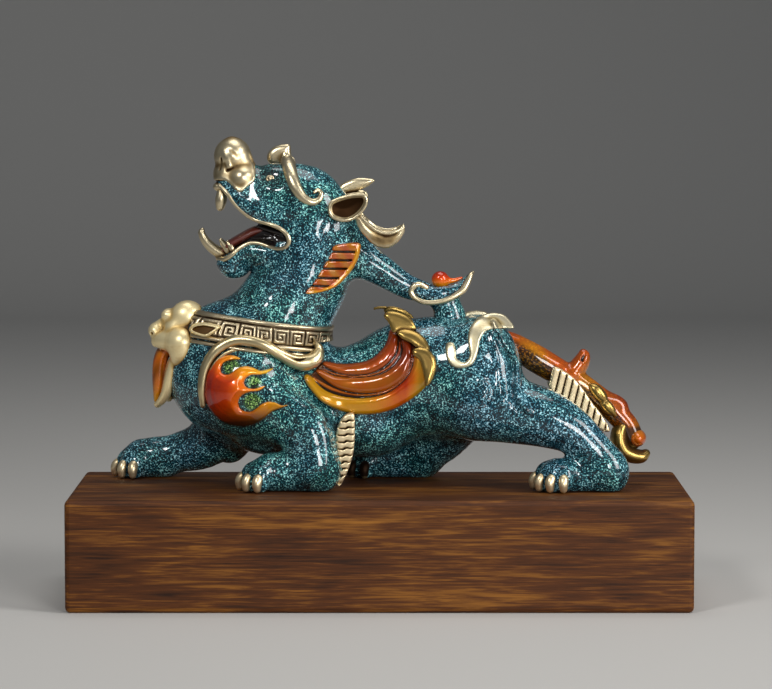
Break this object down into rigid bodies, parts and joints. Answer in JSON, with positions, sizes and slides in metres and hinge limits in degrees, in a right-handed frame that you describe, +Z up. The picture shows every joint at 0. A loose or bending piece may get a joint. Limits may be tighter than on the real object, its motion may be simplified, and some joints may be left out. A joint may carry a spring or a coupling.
{
  "type": "bronze pixiu statue",
  "caption": "Striding pixiu cast in enamelled bronze with gilded trims and red lacquer flames, head thrown up and jaws open, resting on a rectangular walnut plinth.",
  "frame": {"origin": "middle of the plinth's underside", "axes": "+Z up, +X along the plinth towards the tail, +Y across it away from the viewer's side"},
  "size_m": [0.272, 0.11, 0.2035],
  "materials": {
    "enamel": "speckled teal enamel under clear gloss",
    "bronze": "polished cast bronze with brown patina in its grooves",
    "lacquer": "orange-red translucent lacquer fading to gold",
    "walnut": "dark stained, satin"
  },
  "bodies": {
    "root": {"pixiu_figure": "enamel", "plinth": "walnut"}
  },
  "joints": []
}
